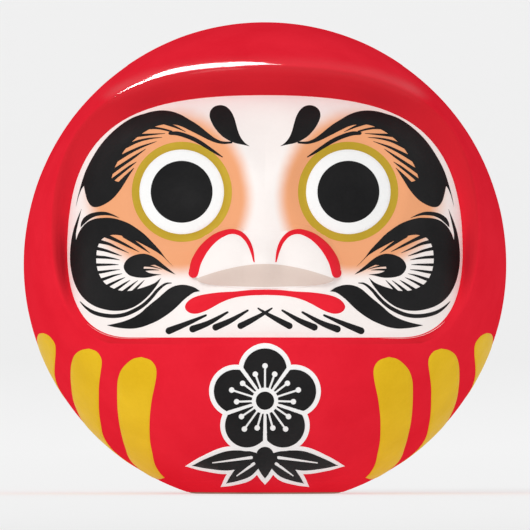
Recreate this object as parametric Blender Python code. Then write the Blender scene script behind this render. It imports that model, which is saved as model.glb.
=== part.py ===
"""Daruma doll: a hollow papier-mache roly-poly doll with a clay weight in its foot.

The doll is a ball of paper whose foot is cut flat. It faces -Y, +X is to the right of someone who
looks at the face, +Z is up, and the origin is the centre of the foot. Lengths below are millimetres;
solid() turns them into metres. Outlines on the front are given as (x, z) around the ball's centre.
"""

import math

import bmesh
import bpy

MM = 0.001

# Driving dimensions
BALL_R = 80.0            # the ball's radius: the doll is 160 mm wide
FOOT_R = 24.0            # radius of the flat foot
WALL = 2.4               # thickness of the moulded paper
FULLNESS = 0.8           # how much squarer than a ball the upper front is
GAP = 0.3                # paste line between two pieces
PAPER_T = 0.8            # thickness of the pasted paper strips
STRIP_HALF = 7.0         # half the width of a seam strip
REBATE = STRIP_HALF + GAP  # half the width of the sunk lips that the strip lies in
CROWN_SPAN = 35.0        # degrees that the crown strip covers on each side of the top
OPENING_R = 30.0         # radius of the bottom opening
BASE_STRIP_IN = 25.6     # inner and outer radius of the paper ring under the doll
BASE_STRIP_OUT = 35.0
WEIGHT_H = 18.0          # height of the clay weight
WEIGHT_EDGE = 3.0        # rounding of the weight's upper edge
CENTRE_Z = math.sqrt(BALL_R ** 2 - FOOT_R ** 2)

# Front outlines, right half from the top to the bottom, as cubic Bezier segments
FACE_EDGE = [
    ((0.0, 56.5), (46.0, 56.5), (65.9, 46.0), (65.9, 4.0)),
    ((65.9, 4.0), (65.9, -13.0), (60.0, -24.3), (45.0, -24.3)),
    ((45.0, -24.3), (30.0, -24.3), (15.0, -24.3), (0.0, -24.3)),
]
HOOD_CREST = [
    ((0.0, 66.2), (44.0, 66.2), (71.0, 54.0), (71.0, 11.5)),
    ((71.0, 11.5), (71.0, -6.0), (66.0, -22.0), (52.0, -26.2)),
    ((52.0, -26.2), (35.0, -26.6), (17.0, -26.6), (0.0, -26.6)),
]

# Face: a shallow dome set back inside the hood
FACE_DEPTH = 71.6
FACE_HALF_W = 82.0
FACE_MID_Z = 4.0
FACE_UP = 73.0
FACE_DOWN = 110.0
EYE = (27.6, 24.2)
EYE_R = 16.6
BROW_RISE = 2.0
SOCKET_DROP = 1.5
EYEBALL_RISE = 2.2
JAW_RISE = 3.2           # how far the jaw comes forward to meet the belly
JAW_TOP = 2.0
JAW_LOW = -22.0
CHEEK = (50.0, -7.0)
CHEEK_R = 14.0
CHEEK_RISE = 2.5
HOOD_ROLL = 3.0          # how far the hood's brim stands proud
CHIN_TUCK = 2.2          # how far the belly is drawn in under the chin

# Nose: two wings beside a ridge, cut off below by a slanted underside
NOSE_HALF_W = 25.0
NOSE_BOTTOM = -7.8
NOSE_TOP = 12.5
NOSE_SQUARENESS = 2.5
NOSE_EDGE_MID = 0.4      # front edge of the underside, at the middle and at the ends
NOSE_EDGE_END = -5.4
NOSE_RIM = 0.5           # thickness where the nose meets the face
RIDGE_RISE = 6.8
RIDGE_HALF_W = 7.5
WING_RISE = 5.4
WING_X = 13.4
WING_Z = -1.0
WING_LEAN = 0.15         # how far a wing's middle moves inwards for each step up
WING_HALF_W = 11.4
WING_HALF_H = 12.6

# Mesh fineness
SIDES = 72
TURNED_SIDES = 48
BODY_RINGS = 9
INNER_RINGS = 6
FACE_STEPS = (0.14, 0.28, 0.42, 0.54, 0.65, 0.75, 0.84, 0.92, 0.97, 1.0)
INNER_FACE_STEPS = (0.3, 0.6, 0.85, 0.97)

LACQUER_RED = (0.832, 0.018, 0.030)
FACE_WHITE = (0.98, 0.91, 0.88)
CLAY = (0.42, 0.27, 0.18)


def smoothstep(low, high, value):
    t = min(1.0, max(0.0, (value - low) / (high - low)))
    return t * t * (3.0 - 2.0 * t)


def bezier(segment, t):
    """The point of one cubic Bezier segment at t, from 0 to 1."""
    weights = ((1 - t) ** 3, 3 * t * (1 - t) ** 2, 3 * t ** 2 * (1 - t), t ** 3)
    return tuple(sum(w * p[axis] for w, p in zip(weights, segment)) for axis in (0, 1))


def polar_table(segments, steps=60):
    """The outline as (angle from straight up, distance from the ball's centre), by rising angle."""
    points = [bezier(segment, k / steps) for segment in segments for k in range(steps + 1)]
    return sorted((math.atan2(x, z), math.hypot(x, z)) for x, z in points)


def table_radius(table, x, z):
    """The outline's distance from the ball's centre, in the direction of (x, z)."""
    angle = math.atan2(abs(x), z)
    for (a0, r0), (a1, r1) in zip(table, table[1:]):
        if angle <= a1:
            share = 0.0 if a1 == a0 else (angle - a0) / (a1 - a0)
            return r0 + (r1 - r0) * share
    return table[-1][1]


FACE_TABLE = polar_table(FACE_EDGE)
CREST_TABLE = polar_table(HOOD_CREST)


def ball_depth(x, z, radius=BALL_R):
    """How far the ball's front lies before its centre plane. Its upper part is a little squarer."""
    power = 2.0 + FULLNESS * smoothstep(-50.0, 10.0, z)
    return radius * max(0.0, 1.0 - (x * x + z * z) / radius ** 2) ** (1.0 / power)


def face_dome(x, z):
    """Depth of the face before its features."""
    half_h = FACE_UP if z > FACE_MID_Z else FACE_DOWN
    inside = 1.0 - (x / FACE_HALF_W) ** 2 - ((z - FACE_MID_Z) / half_h) ** 2
    jaw = JAW_RISE * (1.0 - smoothstep(JAW_LOW, JAW_TOP, z))
    return FACE_DEPTH * math.sqrt(max(0.0, inside)) + jaw


def face_relief(x, z):
    """Brows, eye sockets, eyeballs and cheeks, as a height on the face dome."""
    side_x = abs(x)
    from_eye = math.hypot(side_x - EYE[0], z - EYE[1])
    above = smoothstep(EYE[1] - 4.0, EYE[1] + 10.0, z)
    brow = BROW_RISE * above * math.exp(-((from_eye - EYE_R - 6.0) / 4.5) ** 2)
    socket = -SOCKET_DROP * (1.0 - smoothstep(EYE_R - 3.0, EYE_R + 3.0, from_eye))
    eyeball = EYEBALL_RISE * max(0.0, 1.0 - (from_eye / EYE_R) ** 2) ** 1.5
    cheek_u = ((side_x - CHEEK[0]) / CHEEK_R) ** 2 + ((z - CHEEK[1]) / CHEEK_R) ** 2
    return brow + socket + eyeball + CHEEK_RISE * math.exp(-cheek_u)


def hood_roll(z, beyond):
    """The brim's rolled edge above and the tuck under the chin. beyond is the way from the crest to the limb."""
    upper = smoothstep(-30.0, 30.0, z)
    at_crest = HOOD_ROLL * upper - CHIN_TUCK * (1.0 - upper)
    return at_crest * (1.0 - smoothstep(0.0, 0.55, beyond))


def front_depth(x, z):
    """Depth of the doll's painted front: face, then the hood's inner slope, then the ball."""
    r = math.hypot(x, z)
    if r == 0.0:
        return face_dome(x, z) + face_relief(x, z)
    edge = table_radius(FACE_TABLE, x, z)
    crest = table_radius(CREST_TABLE, x, z)
    if r <= edge:
        fade = 1.0 - smoothstep(0.9, 1.0, r / edge)
        return face_dome(x, z) + face_relief(x, z) * fade
    if r >= crest:
        return ball_depth(x, z) + hood_roll(z, (r - crest) / (BALL_R - crest))
    low = face_dome(x * edge / r, z * edge / r)
    high_x, high_z = x * crest / r, z * crest / r
    high = ball_depth(high_x, high_z) + hood_roll(high_z, 0.0)
    share = (r - edge) / (crest - edge)
    return low + (high - low) * math.sin(share * math.pi / 2)


def ball_radius_at(angle, slope, radius):
    """Distance from the Y axis where the ball's meridian has depth / distance = tan(slope)."""
    sin_a, cos_a = math.sin(angle), math.cos(angle)
    low, high = 0.0, radius
    for _ in range(40):
        mid = (low + high) / 2
        if ball_depth(mid * sin_a, mid * cos_a, radius) > mid * math.tan(slope):
            low = mid
        else:
            high = mid
    return (low + high) / 2


ANGLES = [2 * math.pi * k / SIDES for k in range(SIDES)]


def on_front(angle, r, depth):
    """A point given by its angle from straight up, its distance from the Y axis and its depth."""
    return (r * math.sin(angle), -depth, CENTRE_Z + r * math.cos(angle))


def on_back(angle, r, depth):
    return (r * math.sin(angle), depth, CENTRE_Z + r * math.cos(angle))


def loft(rings):
    """Vertices and faces of a closed skin over rings of equal length; a ring of one point is a pole."""
    verts = [point for ring in rings for point in ring]
    faces = []
    start_b = 0
    for ring_a, ring_b in zip(rings, rings[1:]):
        start_a, start_b = start_b, start_b + len(ring_a)
        count = max(len(ring_a), len(ring_b))
        for k in range(count):
            following = (k + 1) % count
            if len(ring_a) == 1:
                faces.append((start_a, start_b + k, start_b + following))
            elif len(ring_b) == 1:
                faces.append((start_a + k, start_b, start_a + following))
            else:
                faces.append((start_a + k, start_b + k, start_b + following, start_a + following))
    return verts, faces


def solid(name, verts, faces, colour, roughness):
    """A named object made from millimetre points, with its own material and outward faces."""
    mesh = bpy.data.meshes.new(name)
    mesh.from_pydata([(x * MM, y * MM, z * MM) for x, y, z in verts], [], faces)
    bm = bmesh.new()
    bm.from_mesh(mesh)
    bmesh.ops.recalc_face_normals(bm, faces=bm.faces)
    bm.to_mesh(mesh)
    bm.free()
    mesh.shade_smooth()
    mesh.set_sharp_from_angle(angle=math.radians(40))
    material = bpy.data.materials.new(name)
    material.use_nodes = True
    shader = material.node_tree.nodes["Principled BSDF"]
    shader.inputs["Base Color"].default_value = (*colour, 1.0)
    shader.inputs["Roughness"].default_value = roughness
    shader.inputs["Metallic"].default_value = 0.0
    mesh.materials.append(material)
    piece = bpy.data.objects.new(name, mesh)
    bpy.context.scene.collection.objects.link(piece)
    return piece


def turned(name, profile, colour, roughness, closed=False):
    """A solid of revolution about Z. An open profile runs from the axis back to the axis."""
    turns = [2 * math.pi * k / TURNED_SIDES for k in range(TURNED_SIDES)]
    rings = [
        [(0.0, 0.0, z)] if r == 0.0 else [(r * math.cos(t), r * math.sin(t), z) for t in turns]
        for r, z in profile
    ]
    if closed:
        rings.append(rings[0])
    verts, faces = loft(rings)
    if closed:
        last = len(verts) - TURNED_SIDES
        faces = [tuple(v - last if v >= last else v for v in face) for face in faces]
        verts = verts[:last]
    return solid(name, verts, faces, colour, roughness)


def sphere_z(r, radius):
    """Height of the ball's underside, or of one inside it, at a distance r from the Z axis."""
    return CENTRE_Z - math.sqrt(radius ** 2 - r ** 2)


def arc_below(r_from, r_to, radius, steps):
    """Profile points along the underside of a ball, from one distance from the axis to another."""
    spans = [r_from + (r_to - r_from) * k / steps for k in range(steps + 1)]
    return [(r, sphere_z(r, radius)) for r in spans]


def lip_rings(rim, to_point):
    """The rings of the sunk lip that the seam strips cover. rim is the outer skin's last radius, by angle."""
    sunk = PAPER_T + GAP
    return [
        [to_point(a, r, REBATE) for a, r in zip(ANGLES, rim)],
        [to_point(a, r - sunk, REBATE) for a, r in zip(ANGLES, rim)],
        [to_point(a, BALL_R - sunk, GAP / 2) for a in ANGLES],
        [to_point(a, BALL_R - WALL, GAP / 2) for a in ANGLES],
    ]


def radius_at_depth(angle, depth):
    """Distance from the Y axis where the ball's front is as deep as asked."""
    sin_a, cos_a = math.sin(angle), math.cos(angle)
    low, high = 0.0, BALL_R
    for _ in range(40):
        mid = (low + high) / 2
        if ball_depth(mid * sin_a, mid * cos_a) > depth:
            low = mid
        else:
            high = mid
    return (low + high) / 2


def make_front_shell():
    """Front half: face, hood and belly outside, a plain wall inside, a sunk lip round the joint."""
    outer = [[on_front(0.0, 0.0, front_depth(0.0, 0.0))]]

    def outer_ring(radii):
        ring = []
        for angle, r in zip(ANGLES, radii):
            x, z = r * math.sin(angle), r * math.cos(angle)
            ring.append(on_front(angle, r, front_depth(x, z)))
        return ring

    unit = [(math.sin(a), math.cos(a)) for a in ANGLES]
    edge = [table_radius(FACE_TABLE, x, z) for x, z in unit]
    crest = [table_radius(CREST_TABLE, x, z) for x, z in unit]
    for step in FACE_STEPS:
        outer.append(outer_ring([e * step for e in edge]))
    for step in (0.35, 0.7, 1.0):
        outer.append(outer_ring([e + (c - e) * step for e, c in zip(edge, crest)]))
    slopes = []
    for angle, c in zip(ANGLES, crest):
        depth = ball_depth(c * math.sin(angle), c * math.cos(angle))
        slopes.append(math.atan2(depth, c))
    last_slope = math.atan2(REBATE, BALL_R)
    for k in range(1, BODY_RINGS):
        share = k / BODY_RINGS
        outer.append(outer_ring([
            ball_radius_at(a, s + (last_slope - s) * share, BALL_R) for a, s in zip(ANGLES, slopes)
        ]))
    lip = lip_rings([radius_at_depth(a, REBATE) for a in ANGLES], on_front)

    inner_r = BALL_R - WALL
    inner = []
    for k in range(1, INNER_RINGS + 1):
        share = k / INNER_RINGS
        ring = []
        for angle, s, c in zip(ANGLES, slopes, crest):
            low = GAP / 2 / inner_r
            radius = ball_radius_at(angle, low + (s - 0.06 - low) * share, inner_r)
            x, z = radius * math.sin(angle), radius * math.cos(angle)
            tuck = min(0.0, hood_roll(z, max(0.0, radius - c) / (BALL_R - c)))
            ring.append(on_front(angle, radius, ball_depth(x, z, inner_r) + tuck))
        inner.append(ring)
    for step in reversed(INNER_FACE_STEPS):
        ring = []
        for angle, e in zip(ANGLES, edge):
            r = e * step
            depth = face_dome(r * math.sin(angle), r * math.cos(angle)) - WALL
            ring.append(on_front(angle, r, depth - SOCKET_DROP * 0.5))
        inner.append(ring)
    inner.append([on_front(0.0, 0.0, face_dome(0.0, 0.0) - WALL - SOCKET_DROP * 0.5)])
    verts, faces = loft(outer + lip + inner)
    return solid("front_shell", verts, faces, LACQUER_RED, 0.4)


def make_back_shell():
    """Back half: a plain half ball with the same sunk lip."""

    def ball_ring(radius, slope):
        r, depth = radius * math.cos(slope), radius * math.sin(slope)
        return [on_back(a, r, depth) for a in ANGLES]

    first = math.asin(REBATE / BALL_R)
    outer = [[on_back(0.0, 0.0, BALL_R)]]
    rings = BODY_RINGS + 2
    for k in range(1, rings):
        outer.append(ball_ring(BALL_R, math.pi / 2 + (first - math.pi / 2) * k / rings))
    lip = lip_rings([BALL_R * math.cos(first)] * SIDES, on_back)
    inner_r = BALL_R - WALL
    inner = [ball_ring(inner_r, math.pi / 2 * k / rings) for k in range(1, rings)]
    inner.append([on_back(0.0, 0.0, inner_r)])
    verts, faces = loft(outer + lip + inner)
    return solid("back_shell", verts, faces, LACQUER_RED, 0.4)


def make_seam_strip(name, first, last):
    """A strip of paper that lies in the sunk lips, from one angle from straight up to another."""
    step = 360.0 / SIDES
    marks = [first] + [step * k for k in range(-SIDES, SIDES) if first < step * k < last] + [last]
    cross = [-STRIP_HALF, -STRIP_HALF / 2, 0.0, STRIP_HALF / 2, STRIP_HALF]
    rings = []
    for mark in marks:
        angle = math.radians(mark)
        outside = []
        for y in cross:
            r = radius_at_depth(angle, -y) if y < 0 else math.sqrt(BALL_R ** 2 - y ** 2)
            outside.append((angle, r, y))
        section = outside + [(a, r - PAPER_T, y) for a, r, y in reversed(outside)]
        rings.append([(r * math.sin(a), y, CENTRE_Z + r * math.cos(a)) for a, r, y in section])
    verts, faces = loft(rings)
    size = len(rings[0])
    faces.append(tuple(range(size)))
    faces.append(tuple(range(len(verts) - size, len(verts))))
    return solid(name, verts, faces, LACQUER_RED, 0.4)


def nose_height(x, z):
    """How far the nose stands above the face."""
    wing_x = WING_X - WING_LEAN * (z - WING_Z)
    u = ((abs(x) - wing_x) / WING_HALF_W) ** 2 + ((z - WING_Z) / WING_HALF_H) ** 2
    wing = WING_RISE * max(0.0, 1.0 - u) ** 0.7
    ridge = RIDGE_RISE * math.exp(-(x / RIDGE_HALF_W) ** 2) * (1.0 - smoothstep(0.0, NOSE_TOP, z))
    rise = (wing ** 3 + ridge ** 3) ** (1.0 / 3.0)
    lip = NOSE_EDGE_MID + (NOSE_EDGE_END - NOSE_EDGE_MID) * (x / NOSE_HALF_W) ** 2
    if z < lip:
        rise *= max(0.0, (z - NOSE_BOTTOM) / (lip - NOSE_BOTTOM))
    return rise


def nose_reach(angle):
    """Distance from the nose's middle to its outline, at an angle from straight up."""
    x, z = math.sin(angle), math.cos(angle)
    half_h = NOSE_TOP if z > 0 else -NOSE_BOTTOM
    power = NOSE_SQUARENESS
    return ((abs(x) / NOSE_HALF_W) ** power + (abs(z) / half_h) ** power) ** (-1.0 / power)


def make_nose():
    """The pulp nose, with its back following the face at the paste gap."""
    turns = [2 * math.pi * k / TURNED_SIDES for k in range(TURNED_SIDES)]
    seat = GAP + 0.15

    def nose_ring(share, lift):
        ring = []
        for angle in turns:
            r = nose_reach(angle) * share
            x, z = r * math.sin(angle), r * math.cos(angle)
            height = NOSE_RIM + nose_height(x, z) if lift else 0.0
            ring.append((x, -(face_dome(x, z) + seat + height), CENTRE_Z + z))
        return ring

    seat_depth = face_dome(0.0, 0.0) + seat
    rings = [[(0.0, -(seat_depth + NOSE_RIM + nose_height(0.0, 0.0)), CENTRE_Z)]]
    rings += [nose_ring(share, True) for share in (0.15, 0.3, 0.45, 0.6, 0.74, 0.86, 0.95, 1.0)]
    rings += [nose_ring(share, False) for share in (1.0, 0.66, 0.33)]
    rings.append([(0.0, -seat_depth, CENTRE_Z)])
    verts, faces = loft(rings)
    return solid("nose", verts, faces, FACE_WHITE, 0.6)


def make_clay_weight():
    """The clay plug: a flat foot, a belly that follows the ball, straight sides, a rounded top."""
    plug_r = OPENING_R - GAP
    belly_r = BALL_R - PAPER_T - GAP
    ledge_r = BASE_STRIP_IN - GAP
    profile = [(0.0, 0.0), (FOOT_R, 0.0), (ledge_r, sphere_z(ledge_r, BALL_R))]
    profile += arc_below(ledge_r, plug_r, belly_r, 3)
    for k in range(5):
        turn = math.pi / 2 * k / 4
        profile.append((
            plug_r - WEIGHT_EDGE * (1 - math.cos(turn)),
            WEIGHT_H - WEIGHT_EDGE * (1 - math.sin(turn)),
        ))
    profile += [(plug_r * 0.5, WEIGHT_H + 1.2), (0.0, WEIGHT_H + 1.8)]
    return turned("clay_weight", profile, CLAY, 0.9)


def make_base_strip():
    """The paper ring that covers the joint between the weight and the shells."""
    outside = arc_below(BASE_STRIP_IN, BASE_STRIP_OUT, BALL_R, 5)
    inside = arc_below(BASE_STRIP_OUT, BASE_STRIP_IN, BALL_R - PAPER_T, 5)
    return turned("base_strip", outside + inside, LACQUER_RED, 0.5, closed=True)


def cut_bottom(shells):
    """Opens both shells for the weight, and sinks their rim for the paper ring."""
    sunk = PAPER_T + GAP
    rim = BASE_STRIP_OUT + GAP
    profile = [(0.0, CENTRE_Z / 2), (OPENING_R, CENTRE_Z / 2)]
    profile += arc_below(OPENING_R, rim, BALL_R - sunk, 4)
    profile += [(rim, -5.0), (0.0, -5.0)]
    cutter = turned("bottom_cutter", profile, CLAY, 1.0)
    cutter.hide_render = True
    cutter.display_type = 'WIRE'
    for shell in shells:
        cut = shell.modifiers.new("bottom_opening", 'BOOLEAN')
        cut.operation = 'DIFFERENCE'
        cut.solver = 'EXACT'
        cut.object = cutter


def build():
    for old in list(bpy.data.objects):
        bpy.data.objects.remove(old, do_unlink=True)
    shells = [make_front_shell(), make_back_shell()]
    cut_bottom(shells)
    base_edge = 180.0 - math.degrees(math.asin((BASE_STRIP_OUT + GAP) / BALL_R))
    butt = math.degrees(GAP / 2 / BALL_R)
    strips = [
        make_seam_strip("seam_strip_left", -base_edge, -CROWN_SPAN - butt),
        make_seam_strip("seam_strip_right", CROWN_SPAN + butt, base_edge),
        make_seam_strip("seam_strip_crown", -CROWN_SPAN + butt, CROWN_SPAN - butt),
    ]
    pieces = shells + strips + [make_nose(), make_clay_weight(), make_base_strip()]
    doll = bpy.data.objects.new("daruma_doll", None)
    bpy.context.scene.collection.objects.link(doll)
    for piece in pieces:
        piece.parent = doll


build()
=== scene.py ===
"""The looks of the daruma doll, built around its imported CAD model.

The doll faces -Y. Lengths are millimetres until a mesh is made. An outline on the front is a list of
(x, z) points round the ball's centre with x counted from the middle outwards, so that one outline
serves both sides. An outline on the flanks is a list of (longitude in degrees, z) points instead.
"""

import math

import bpy
import numpy as np
from mathutils import Matrix, Vector
from mathutils.geometry import delaunay_2d_cdt


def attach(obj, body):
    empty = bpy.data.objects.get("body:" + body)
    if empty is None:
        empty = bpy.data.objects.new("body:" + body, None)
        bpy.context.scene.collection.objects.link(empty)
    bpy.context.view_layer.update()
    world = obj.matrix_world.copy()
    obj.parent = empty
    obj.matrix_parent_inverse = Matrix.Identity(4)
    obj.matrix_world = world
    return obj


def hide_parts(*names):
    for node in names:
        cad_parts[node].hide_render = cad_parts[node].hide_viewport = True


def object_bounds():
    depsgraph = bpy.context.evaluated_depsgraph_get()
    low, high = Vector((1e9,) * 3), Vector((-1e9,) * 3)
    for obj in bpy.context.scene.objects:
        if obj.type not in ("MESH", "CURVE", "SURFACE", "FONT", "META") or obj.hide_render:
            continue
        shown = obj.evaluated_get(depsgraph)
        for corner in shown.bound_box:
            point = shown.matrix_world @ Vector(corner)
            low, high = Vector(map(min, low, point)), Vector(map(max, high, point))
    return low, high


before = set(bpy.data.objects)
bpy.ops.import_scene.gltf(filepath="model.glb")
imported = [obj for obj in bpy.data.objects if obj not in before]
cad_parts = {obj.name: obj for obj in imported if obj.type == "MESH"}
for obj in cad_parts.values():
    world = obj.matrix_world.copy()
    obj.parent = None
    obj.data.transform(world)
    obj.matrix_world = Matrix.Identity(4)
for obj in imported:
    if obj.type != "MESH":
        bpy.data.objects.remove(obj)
cad_low, cad_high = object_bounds()

MM = 0.001
BODY = "root"
BALL_R = (cad_high.x - cad_low.x) / 2 / MM
CENTRE_Z = cad_high.z / MM - BALL_R
CENTRE = np.array([0.0, 0.0, CENTRE_Z])

# Front form, as in the CAD model
FULLNESS = 0.8
FACE_EDGE = [
    ((0.0, 56.5), (46.0, 56.5), (65.9, 46.0), (65.9, 4.0)),
    ((65.9, 4.0), (65.9, -13.0), (60.0, -24.3), (45.0, -24.3)),
    ((45.0, -24.3), (30.0, -24.3), (15.0, -24.3), (0.0, -24.3)),
]
HOOD_CREST = [
    ((0.0, 66.2), (44.0, 66.2), (71.0, 54.0), (71.0, 11.5)),
    ((71.0, 11.5), (71.0, -6.0), (66.0, -22.0), (52.0, -26.2)),
    ((52.0, -26.2), (35.0, -26.6), (17.0, -26.6), (0.0, -26.6)),
]
HOOD_ROLL = 3.0
CHIN_TUCK = 2.2
FACE_DEPTH = 71.6
FACE_HALF_W = 82.0
FACE_MID_Z = 4.0
FACE_UP = 73.0
FACE_DOWN = 110.0
JAW_RISE = 3.2
EYE = (27.6, 24.2)
RING_R = 16.6
WHITE_R = 14.0
PUPIL_R = 10.25
NOSE_HALF_W = 25.0
NOSE_BOTTOM = -7.8
NOSE_TOP = 12.5
WING_X = 13.4
WING_Z = -1.0
WING_LEAN = 0.15
WING_HALF_W = 11.4
WING_HALF_H = 12.6

# Shells and what is pasted to them, as in the CAD model
WALL = 2.4
PAPER_T = 0.8
STRIP_HALF = 7.0
GAP = 0.3
CROWN_SPAN = 35.0
OPENING_R = 30.0
BASE_STRIP_IN = 25.6
BASE_STRIP_OUT = 35.0
WEIGHT_H = 18.0
SEAM_HALF = STRIP_HALF + GAP / 2
STEP_R = BALL_R - PAPER_T - GAP      # the ball under the pasted paper
INNER_R = BALL_R - WALL

PAINT_T = 0.14           # height of a coat of paint over what it lies on
PAINT_SINK = 0.3         # depth of its hidden underside
LIP = 0.17               # height of the red paint's lip round the face
LAP = 0.45               # how far a painted strip runs over what it is pasted to
SHARP_ANGLE = math.radians(40.0)


# ---- form

def smooth(low, high, value):
    t = np.clip((np.asarray(value, float) - low) / (high - low), 0.0, 1.0)
    return t * t * (3.0 - 2.0 * t)


def bump(x, z, at_x, at_z, wide, tall):
    """A soft hill of height 1."""
    return np.exp(-((x - at_x) / wide) ** 2 - ((z - at_z) / tall) ** 2)


def bezier_points(segment, steps):
    t = np.linspace(0.0, 1.0, steps)[:, None]
    a, b, c, d = (np.array(p) for p in segment)
    return (1 - t) ** 3 * a + 3 * t * (1 - t) ** 2 * b + 3 * t ** 2 * (1 - t) * c + t ** 3 * d


def polar_table(segments):
    """An outline as angles from straight up and distances from the ball's centre."""
    points = np.vstack([bezier_points(s, 200) for s in segments])
    angle = np.arctan2(points[:, 0], points[:, 1])
    order = np.argsort(angle)
    return angle[order], np.hypot(points[:, 0], points[:, 1])[order]


FACE_TABLE = polar_table(FACE_EDGE)
CREST_TABLE = polar_table(HOOD_CREST)


def reach(table, x, z):
    return np.interp(np.arctan2(np.abs(x), z), *table)


def ball_depth(x, z, radius=BALL_R):
    power = 2.0 + FULLNESS * smooth(-50.0, 10.0, z)
    return radius * np.clip(1.0 - (x * x + z * z) / radius ** 2, 0.0, None) ** (1.0 / power)


def hood_roll(z, beyond):
    upper = smooth(-30.0, 30.0, z)
    return (HOOD_ROLL * upper - CHIN_TUCK * (1.0 - upper)) * (1.0 - smooth(0.0, 0.55, beyond))


def face_dome(x, z):
    half_h = np.where(z > FACE_MID_Z, FACE_UP, FACE_DOWN)
    inside = 1.0 - (x / FACE_HALF_W) ** 2 - ((z - FACE_MID_Z) / half_h) ** 2
    return FACE_DEPTH * np.sqrt(np.clip(inside, 0.0, None)) + JAW_RISE * (1.0 - smooth(-22.0, 2.0, z))


def face_relief(x, z):
    """Brows, sockets, eyeballs, cheeks, bridge, lips and chin, as a height on the face dome."""
    side = np.abs(x)
    from_eye = np.hypot(side - EYE[0], z - EYE[1])
    brow = 1.9 * smooth(20.0, 36.0, z) * np.exp(-((from_eye - 23.0) / 4.8) ** 2)
    socket = -1.6 * (1.0 - smooth(14.5, 20.5, from_eye))
    eyeball = 2.6 * np.clip(1.0 - (from_eye / 16.4) ** 2, 0.0, None) ** 1.3
    cheek = 2.4 * bump(side, z, 50.0, -5.0, 14.0, 14.0)
    bridge = 1.6 * bump(x, z, 0.0, 24.0, 6.5, 11.0) + 0.9 * bump(side, z, 9.5, 45.0, 5.0, 6.5)
    mouth_z = -9.2 - 4.4 * (side / 24.0) ** 2.2
    lip = 0.7 * np.exp(-((z - mouth_z - 1.0) / 1.8) ** 2) * (1.0 - smooth(22.0, 30.0, side))
    chin = 0.8 * bump(x, z, 0.0, -18.5, 18.0, 4.0)
    return brow + socket + eyeball + cheek + bridge + lip + chin


def raw_depth(x, z):
    """Depth of the front with a hard crest: face, the hood's inner slope, then the ball."""
    r = np.maximum(np.hypot(x, z), 1e-6)
    edge, crest = reach(FACE_TABLE, x, z), reach(CREST_TABLE, x, z)
    on_face = face_dome(x, z) + face_relief(x, z) * (1.0 - smooth(0.9, 1.0, r / edge))
    low = face_dome(x * edge / r, z * edge / r)
    high_x, high_z = x * crest / r, z * crest / r
    high = ball_depth(high_x, high_z) + hood_roll(high_z, 0.0)
    share = np.clip((r - edge) / (crest - edge), 0.0, 1.0)
    slope = low + (high - low) * np.sin(share * math.pi / 2)
    ball = ball_depth(x, z) + hood_roll(z, (r - crest) / (BALL_R - crest))
    return np.where(r <= edge, on_face, np.where(r < crest, slope, ball))


CREST_TAPS = np.linspace(-1.0, 1.0, 9)


def front_depth(x, z):
    """Depth of the front with the crest rounded over by averaging across it."""
    x, z = np.asarray(x, float), np.asarray(z, float)
    r = np.maximum(np.hypot(x, z), 1e-6)
    edge, crest = reach(FACE_TABLE, x, z), reach(CREST_TABLE, x, z)
    width = np.minimum(np.minimum(0.45 * (crest - edge), 4.4), 0.7 * (BALL_R - 1.2 - crest))
    near = 1.0 - smooth(0.9, 1.25, np.abs(r - crest) / width)
    weights = (1.0 - CREST_TAPS ** 2) ** 2
    mean = 0.0
    for tap, weight in zip(CREST_TAPS, weights):
        shift = np.minimum(1.0 + tap * width * near / r, (BALL_R - 1e-3) / r)
        mean = mean + weight * raw_depth(x * shift, z * shift)
    return np.where(near > 0.0, mean / weights.sum(), raw_depth(x, z))


def underside_top(x):
    """Height of the nose's lower front edge."""
    return 0.4 - 5.8 * (np.abs(x) / NOSE_HALF_W) ** 1.8


def sharp_nose_height(x, z):
    side = np.abs(x)
    wing_x = WING_X - WING_LEAN * (z - WING_Z)
    u = ((side - wing_x) / WING_HALF_W) ** 2 + ((z - WING_Z) / WING_HALF_H) ** 2
    wing = 5.4 * np.clip(1.0 - u, 0.0, None) ** 0.62
    ridge = 6.8 * np.exp(-(x / 7.5) ** 2) * (1.0 - smooth(0.0, NOSE_TOP, z))
    rise = (wing ** 3 + ridge ** 3) ** (1.0 / 3.0)
    lip = underside_top(x)
    return rise * np.clip((z - NOSE_BOTTOM) / (lip - NOSE_BOTTOM), 0.0, 1.0) ** 0.8


def nose_height(x, z):
    """How far the nose stands above the face, with its lower edge rounded over."""
    taps, weights = (-1.5, -0.75, 0.0, 0.75, 1.5), (0.12, 0.24, 0.28, 0.24, 0.12)
    return sum(w * sharp_nose_height(x, z + tap) for tap, w in zip(taps, weights))


def wobble(points):
    """Slight unevenness of hand-laid paper, along the surface's outward direction."""
    x, y, z = points[:, 0], points[:, 1], points[:, 2]
    broad = np.sin(0.083 * x + 1.3) * np.sin(0.071 * y + 0.4) * np.sin(0.091 * z + 2.2)
    fine = np.sin(0.31 * x + 0.7 * np.sin(0.17 * z)) * np.sin(0.27 * z + 1.9) * np.sin(0.29 * y + 0.3)
    return 0.16 * broad + 0.035 * fine


def unit(vectors):
    return vectors / np.maximum(np.linalg.norm(vectors, axis=1), 1e-9)[:, None]


def lifted(points, normals, lift):
    """Points moved out along their normals by the wobble and a lift."""
    return points + normals * (wobble(points) + lift)[:, None]


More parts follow.
